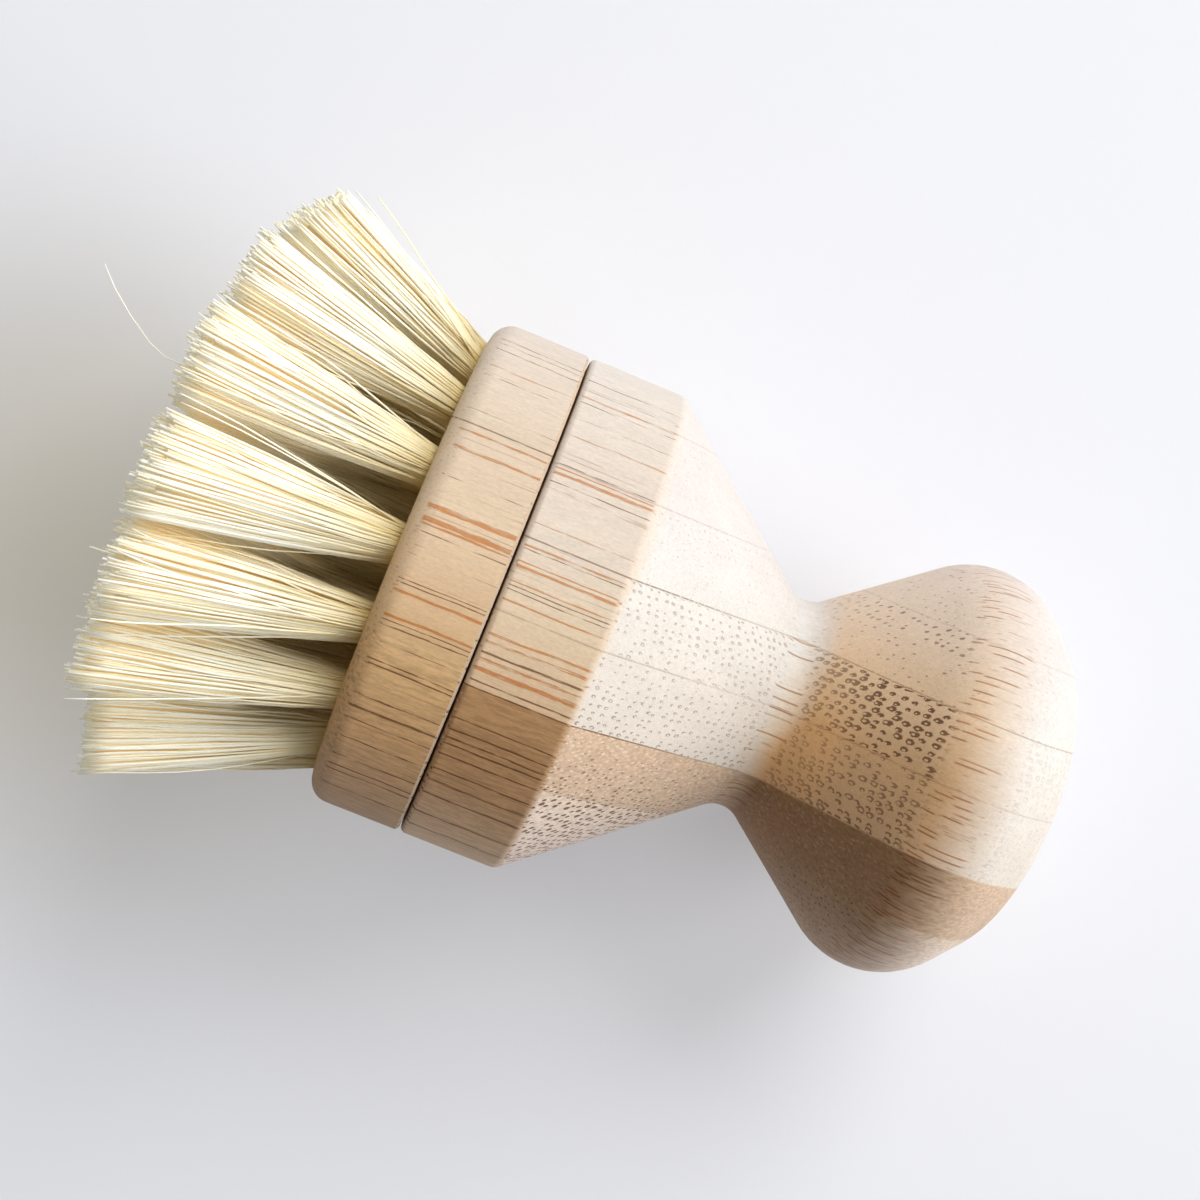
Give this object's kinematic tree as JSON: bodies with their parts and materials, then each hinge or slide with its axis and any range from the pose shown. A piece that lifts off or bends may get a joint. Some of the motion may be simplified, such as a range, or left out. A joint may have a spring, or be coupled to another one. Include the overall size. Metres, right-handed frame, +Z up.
{
  "type": "palm brush",
  "caption": "Palm brush for dishes and pots: a turned bamboo knob with a screw-on round head of plant-fibre tufts, lying on its side.",
  "frame": {"origin": "on the floor, under the middle of the brush's bounding box as it lies on its side", "axes": "+X along the brush from the bristles to the knob, which lies lower; +Z up; +Y to the left, seen from the bristles looking at the knob"},
  "size_m": [0.0918, 0.0632, 0.0619],
  "materials": {
    "handle_bamboo": "laminated bamboo, sanded smooth and lightly oiled",
    "block_bamboo": "laminated bamboo, sanded smooth, a shade darker",
    "stud_steel": "zinc-plated steel thread",
    "insert_brass": "turned brass",
    "anchor_wire": "flat drawn wire",
    "plant_fibre": "stiff pale plant fibre, trimmed level"
  },
  "bodies": {
    "handle": {"handle_knob": "handle_bamboo", "joining_stud": "stud_steel"},
    "head": {"head_block": "block_bamboo", "threaded_insert": "insert_brass", "tuft_anchors": "anchor_wire", "tuft_outer_01": "plant_fibre", "tuft_outer_02": "plant_fibre", "tuft_outer_03": "plant_fibre", "tuft_outer_04": "plant_fibre", "tuft_outer_05": "plant_fibre", "tuft_outer_06": "plant_fibre", "tuft_outer_07": "plant_fibre", "tuft_outer_08": "plant_fibre", "tuft_outer_09": "plant_fibre", "tuft_outer_10": "plant_fibre", "tuft_outer_11": "plant_fibre", "tuft_outer_12": "plant_fibre", "tuft_outer_13": "plant_fibre", "tuft_outer_14": "plant_fibre", "tuft_outer_15": "plant_fibre", "tuft_outer_16": "plant_fibre", "tuft_outer_17": "plant_fibre", "tuft_middle_01": "plant_fibre", "tuft_middle_02": "plant_fibre", "tuft_middle_03": "plant_fibre", "tuft_middle_04": "plant_fibre", "tuft_middle_05": "plant_fibre", "tuft_middle_06": "plant_fibre", "tuft_middle_07": "plant_fibre", "tuft_middle_08": "plant_fibre", "tuft_middle_09": "plant_fibre", "tuft_middle_10": "plant_fibre", "tuft_middle_11": "plant_fibre", "tuft_middle_12": "plant_fibre", "tuft_inner_01": "plant_fibre", "tuft_inner_02": "plant_fibre", "tuft_inner_03": "plant_fibre", "tuft_inner_04": "plant_fibre", "tuft_inner_05": "plant_fibre", "tuft_inner_06": "plant_fibre"}
  },
  "joints": [
    {"name": "head_unscrew", "type": "slide", "parent": "handle", "child": "head", "axis": [-0.9926, 0, 0.1212], "range_m": [0, 0.022]}
  ]
}
